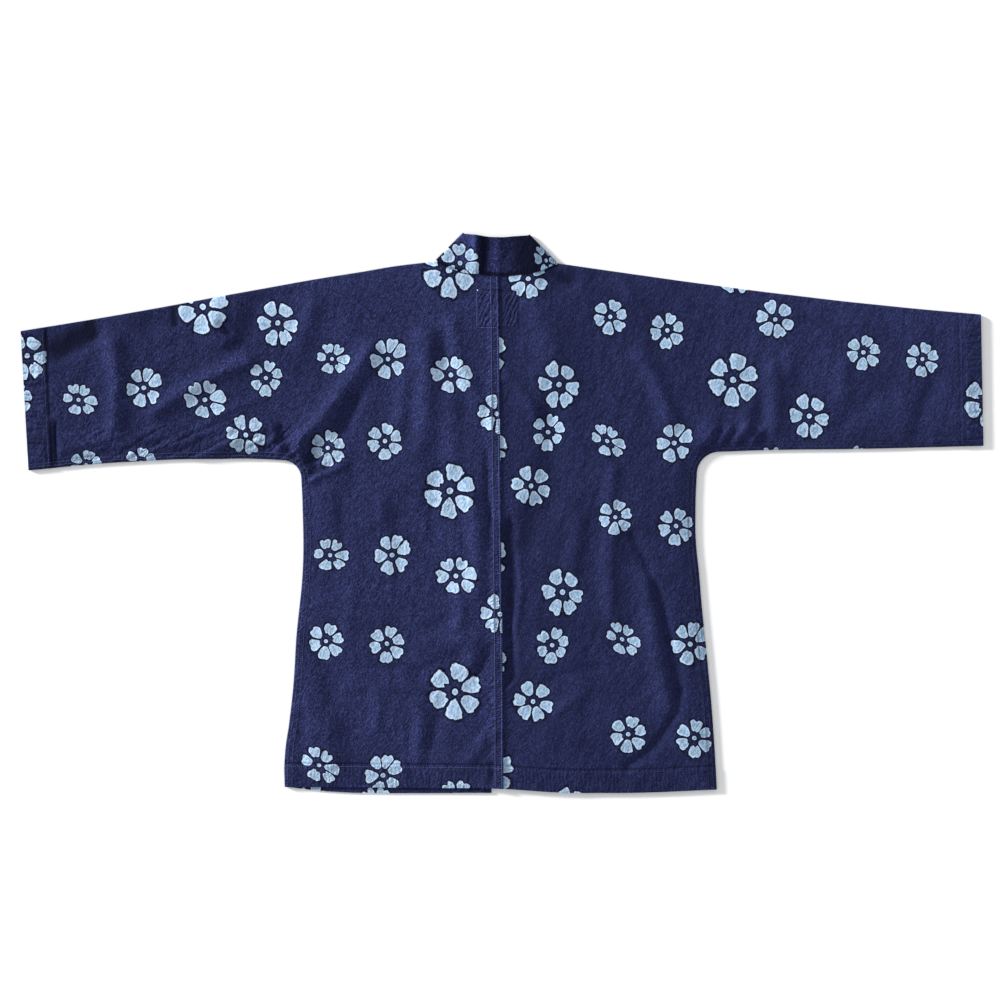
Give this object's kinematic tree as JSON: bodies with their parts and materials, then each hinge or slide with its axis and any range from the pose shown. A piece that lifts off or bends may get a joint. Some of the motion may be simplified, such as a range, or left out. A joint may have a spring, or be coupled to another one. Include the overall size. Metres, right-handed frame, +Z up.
{
  "type": "haori jacket",
  "caption": "Short kimono-style jacket laid flat with its back up: wide straight body, tapering sleeves cut in one with it, and a standing band collar.",
  "frame": {"origin": "middle of the jacket's footprint, on the surface that it lies on", "axes": "+X from the picture's left sleeve to its right sleeve, +Y from the hem to the collar, +Z up from the surface"},
  "size_m": [1.3674, 0.7964, 0.0076],
  "materials": {
    "printed_cotton_left": "indigo cotton crepe with pale resist-printed blossoms",
    "printed_cotton_right": "indigo cotton crepe with pale resist-printed blossoms",
    "printed_cotton_collar": "indigo cotton crepe, doubled, with pale resist-printed blossoms"
  },
  "bodies": {
    "root": {"left_half": "printed_cotton_left", "right_half": "printed_cotton_right", "collar": "printed_cotton_collar"}
  },
  "joints": []
}
